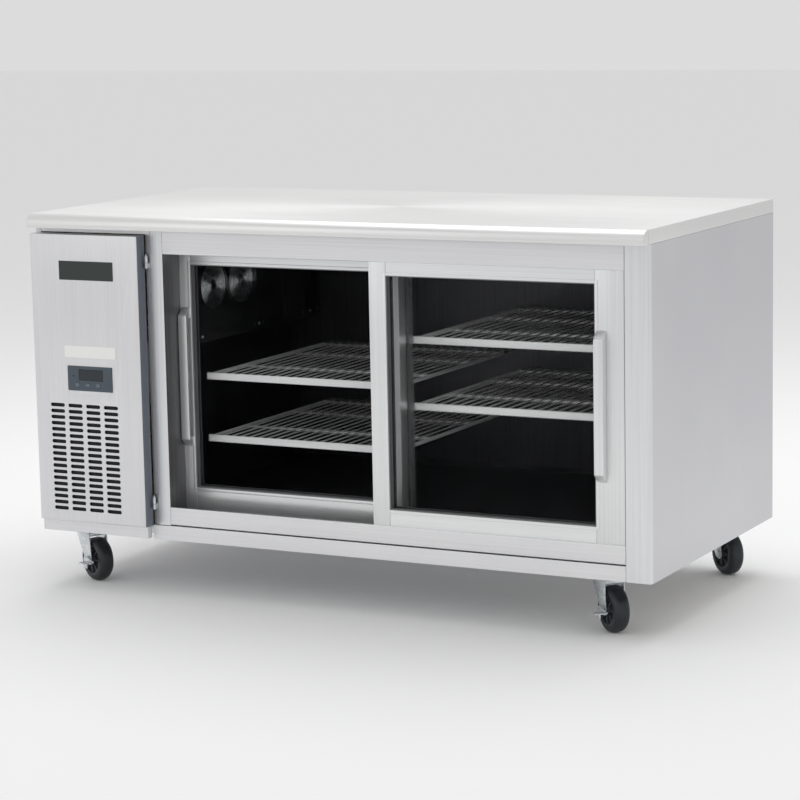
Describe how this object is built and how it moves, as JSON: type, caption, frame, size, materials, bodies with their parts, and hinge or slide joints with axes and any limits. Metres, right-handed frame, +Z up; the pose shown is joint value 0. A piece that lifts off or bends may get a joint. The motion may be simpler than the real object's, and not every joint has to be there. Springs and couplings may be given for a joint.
{
  "type": "undercounter refrigerator",
  "caption": "Stainless steel undercounter refrigerator with sliding glass doors, side-mounted cooling unit behind a louvred door, wire shelves and casters.",
  "frame": {"origin": "centre of the footprint, on the floor under the casters", "axes": "+X from the machine compartment towards the doors (viewer's left to right), +Y from the front to the back, +Z up"},
  "size_m": [1.505, 0.788, 0.865],
  "materials": {
    "brushed_steel": "satin",
    "bright_steel": "satin",
    "zinc_plate": "satin",
    "foam": "matte",
    "dark_liner": "satin",
    "aluminium": "satin",
    "white_coat": "gloss",
    "black_plastic": "matte",
    "grey_plastic": "matte",
    "glass": "polished",
    "black_enamel": "gloss",
    "control_grey": "gloss",
    "button_grey": "satin",
    "wheel_rubber": "matte"
  },
  "bodies": {
    "cabinet": {"right_side_panel": "brushed_steel", "left_side_panel": "brushed_steel", "back_panel": "brushed_steel", "front_frame": "brushed_steel", "base_pan": "brushed_steel", "machine_base": "brushed_steel", "fan_shroud": "brushed_steel", "worktop": "bright_steel", "front_cross_member": "zinc_plate", "rear_cross_member": "zinc_plate", "evaporator_motor_plate": "zinc_plate", "control_box": "zinc_plate", "upper_hinge_bracket": "zinc_plate", "lower_hinge_bracket": "zinc_plate", "insulation": "foam", "inner_liner": "dark_liner", "centre_post": "aluminium", "evaporator_coil": "aluminium", "bottom_track": "aluminium", "bottom_guide": "aluminium", "top_track": "aluminium", "condenser_coil": "aluminium", "left_upper_shelf": "white_coat", "left_lower_shelf": "white_coat", "right_upper_shelf": "white_coat", "right_lower_shelf": "white_coat", "evaporator_cover": "black_plastic", "evaporator_guard_front": "black_plastic", "evaporator_guard_rear": "black_plastic", "drain_pan": "black_plastic", "compressor": "black_enamel", "condenser_fan_motor": "black_enamel"},
    "left_door": {"left_door_frame": "brushed_steel", "left_door_glass": "glass", "left_door_handle": "bright_steel"},
    "right_door": {"right_door_frame": "brushed_steel", "right_door_glass": "glass", "right_door_handle": "bright_steel"},
    "left_door_roller_left": {"left_door_roller_left": "grey_plastic"},
    "left_door_roller_right": {"left_door_roller_right": "grey_plastic"},
    "right_door_roller_left": {"right_door_roller_left": "grey_plastic"},
    "right_door_roller_right": {"right_door_roller_right": "grey_plastic"},
    "grille_door": {"grille_door": "brushed_steel", "controller": "control_grey"},
    "set_button": {"set_button": "button_grey"},
    "down_button": {"down_button": "button_grey"},
    "up_button": {"up_button": "button_grey"},
    "evaporator_fan_front": {"evaporator_fan_front": "grey_plastic"},
    "evaporator_fan_rear": {"evaporator_fan_rear": "grey_plastic"},
    "condenser_fan": {"condenser_fan": "aluminium"},
    "front_left_caster": {"front_left_fork": "zinc_plate"},
    "front_left_wheel": {"front_left_wheel": "wheel_rubber"},
    "front_left_brake": {"front_left_brake_pedal": "zinc_plate"},
    "front_right_caster": {"front_right_fork": "zinc_plate"},
    "front_right_wheel": {"front_right_wheel": "wheel_rubber"},
    "front_right_brake": {"front_right_brake_pedal": "zinc_plate"},
    "rear_left_caster": {"rear_left_fork": "zinc_plate"},
    "rear_left_wheel": {"rear_left_wheel": "wheel_rubber"},
    "rear_right_caster": {"rear_right_fork": "zinc_plate"},
    "rear_right_wheel": {"rear_right_wheel": "wheel_rubber"}
  },
  "joints": [
    {"name": "left_door_slide", "type": "slide", "parent": "cabinet", "child": "left_door", "axis": [1, 0, 0], "range_m": [0, 0.54]},
    {"name": "right_door_slide", "type": "slide", "parent": "cabinet", "child": "right_door", "axis": [-1, 0, 0], "range_m": [0, 0.51]},
    {"name": "left_door_roller_left_spin", "type": "hinge", "parent": "left_door", "child": "left_door_roller_left", "pos_m": [-0.3935, -0.2675, 0.182], "axis": [0, 1, 0], "continuous": true},
    {"name": "left_door_roller_right_spin", "type": "hinge", "parent": "left_door", "child": "left_door_roller_right", "pos_m": [0.0775, -0.2675, 0.182], "axis": [0, 1, 0], "continuous": true},
    {"name": "right_door_roller_left_spin", "type": "hinge", "parent": "right_door", "child": "right_door_roller_left", "pos_m": [0.1615, -0.3355, 0.182], "axis": [0, 1, 0], "continuous": true},
    {"name": "right_door_roller_right_spin", "type": "hinge", "parent": "right_door", "child": "right_door_roller_right", "pos_m": [0.6325, -0.3355, 0.182], "axis": [0, 1, 0], "continuous": true},
    {"name": "grille_door_hinge", "type": "hinge", "parent": "cabinet", "child": "grille_door", "pos_m": [-0.4545, -0.362, 0.4], "axis": [0, 0, 1], "range_deg": [0, 100]},
    {"name": "set_button_press", "type": "slide", "parent": "grille_door", "child": "set_button", "axis": [0, 1, 0], "range_m": [0, 0.0012], "stiffness_N_per_m": 150},
    {"name": "down_button_press", "type": "slide", "parent": "grille_door", "child": "down_button", "axis": [0, 1, 0], "range_m": [0, 0.0012], "stiffness_N_per_m": 150},
    {"name": "up_button_press", "type": "slide", "parent": "grille_door", "child": "up_button", "axis": [0, 1, 0], "range_m": [0, 0.0012], "stiffness_N_per_m": 150},
    {"name": "evaporator_fan_front_spin", "type": "hinge", "parent": "cabinet", "child": "evaporator_fan_front", "pos_m": [-0.4314, -0.168, 0.6892], "axis": [1, 0, 0], "continuous": true},
    {"name": "evaporator_fan_rear_spin", "type": "hinge", "parent": "cabinet", "child": "evaporator_fan_rear", "pos_m": [-0.4314, -0.043, 0.6892], "axis": [1, 0, 0], "continuous": true},
    {"name": "condenser_fan_spin", "type": "hinge", "parent": "cabinet", "child": "condenser_fan", "pos_m": [-0.6305, -0.2417, 0.2978], "axis": [0, 1, 0], "continuous": true},
    {"name": "front_left_swivel", "type": "hinge", "parent": "cabinet", "child": "front_left_caster", "pos_m": [-0.6965, -0.266, 0.11], "axis": [0, 0, 1], "continuous": true},
    {"name": "front_left_wheel_spin", "type": "hinge", "parent": "front_left_caster", "child": "front_left_wheel", "pos_m": [-0.66799, -0.28053, 0.05], "axis": [0.454, 0.891, 0], "continuous": true},
    {"name": "front_left_brake_press", "type": "hinge", "parent": "front_left_caster", "child": "front_left_brake", "pos_m": [-0.66799, -0.28053, 0.05], "axis": [0.454, 0.891, 0], "range_deg": [0, 20]},
    {"name": "front_right_swivel", "type": "hinge", "parent": "cabinet", "child": "front_right_caster", "pos_m": [0.6125, -0.261, 0.11], "axis": [0, 0, 1], "continuous": true},
    {"name": "front_right_wheel_spin", "type": "hinge", "parent": "front_right_caster", "child": "front_right_wheel", "pos_m": [0.63628, -0.28241, 0.05], "axis": [0.6691, 0.7431, 0], "continuous": true},
    {"name": "front_right_brake_press", "type": "hinge", "parent": "front_right_caster", "child": "front_right_brake", "pos_m": [0.63628, -0.28241, 0.05], "axis": [0.6691, 0.7431, 0], "range_deg": [0, 20]},
    {"name": "rear_left_swivel", "type": "hinge", "parent": "cabinet", "child": "rear_left_caster", "pos_m": [-0.6425, 0.349, 0.11], "axis": [0, 0, 1], "continuous": true},
    {"name": "rear_left_wheel_spin", "type": "hinge", "parent": "rear_left_caster", "child": "rear_left_wheel", "pos_m": [-0.61799, 0.32843, 0.05], "axis": [0.6428, 0.766, 0], "continuous": true},
    {"name": "rear_right_swivel", "type": "hinge", "parent": "cabinet", "child": "rear_right_caster", "pos_m": [0.6425, 0.349, 0.11], "axis": [0, 0, 1], "continuous": true},
    {"name": "rear_right_wheel_spin", "type": "hinge", "parent": "rear_right_caster", "child": "rear_right_wheel", "pos_m": [0.66701, 0.32843, 0.05], "axis": [0.6428, 0.766, 0], "continuous": true}
  ],
  "couplings": [
    {"joint": "left_door_roller_left_spin", "follows": "left_door_slide", "rad_per_m": 111.11},
    {"joint": "left_door_roller_right_spin", "follows": "left_door_slide", "rad_per_m": 111.11},
    {"joint": "right_door_roller_left_spin", "follows": "right_door_slide", "rad_per_m": -111.11},
    {"joint": "right_door_roller_right_spin", "follows": "right_door_slide", "rad_per_m": -111.11}
  ]
}
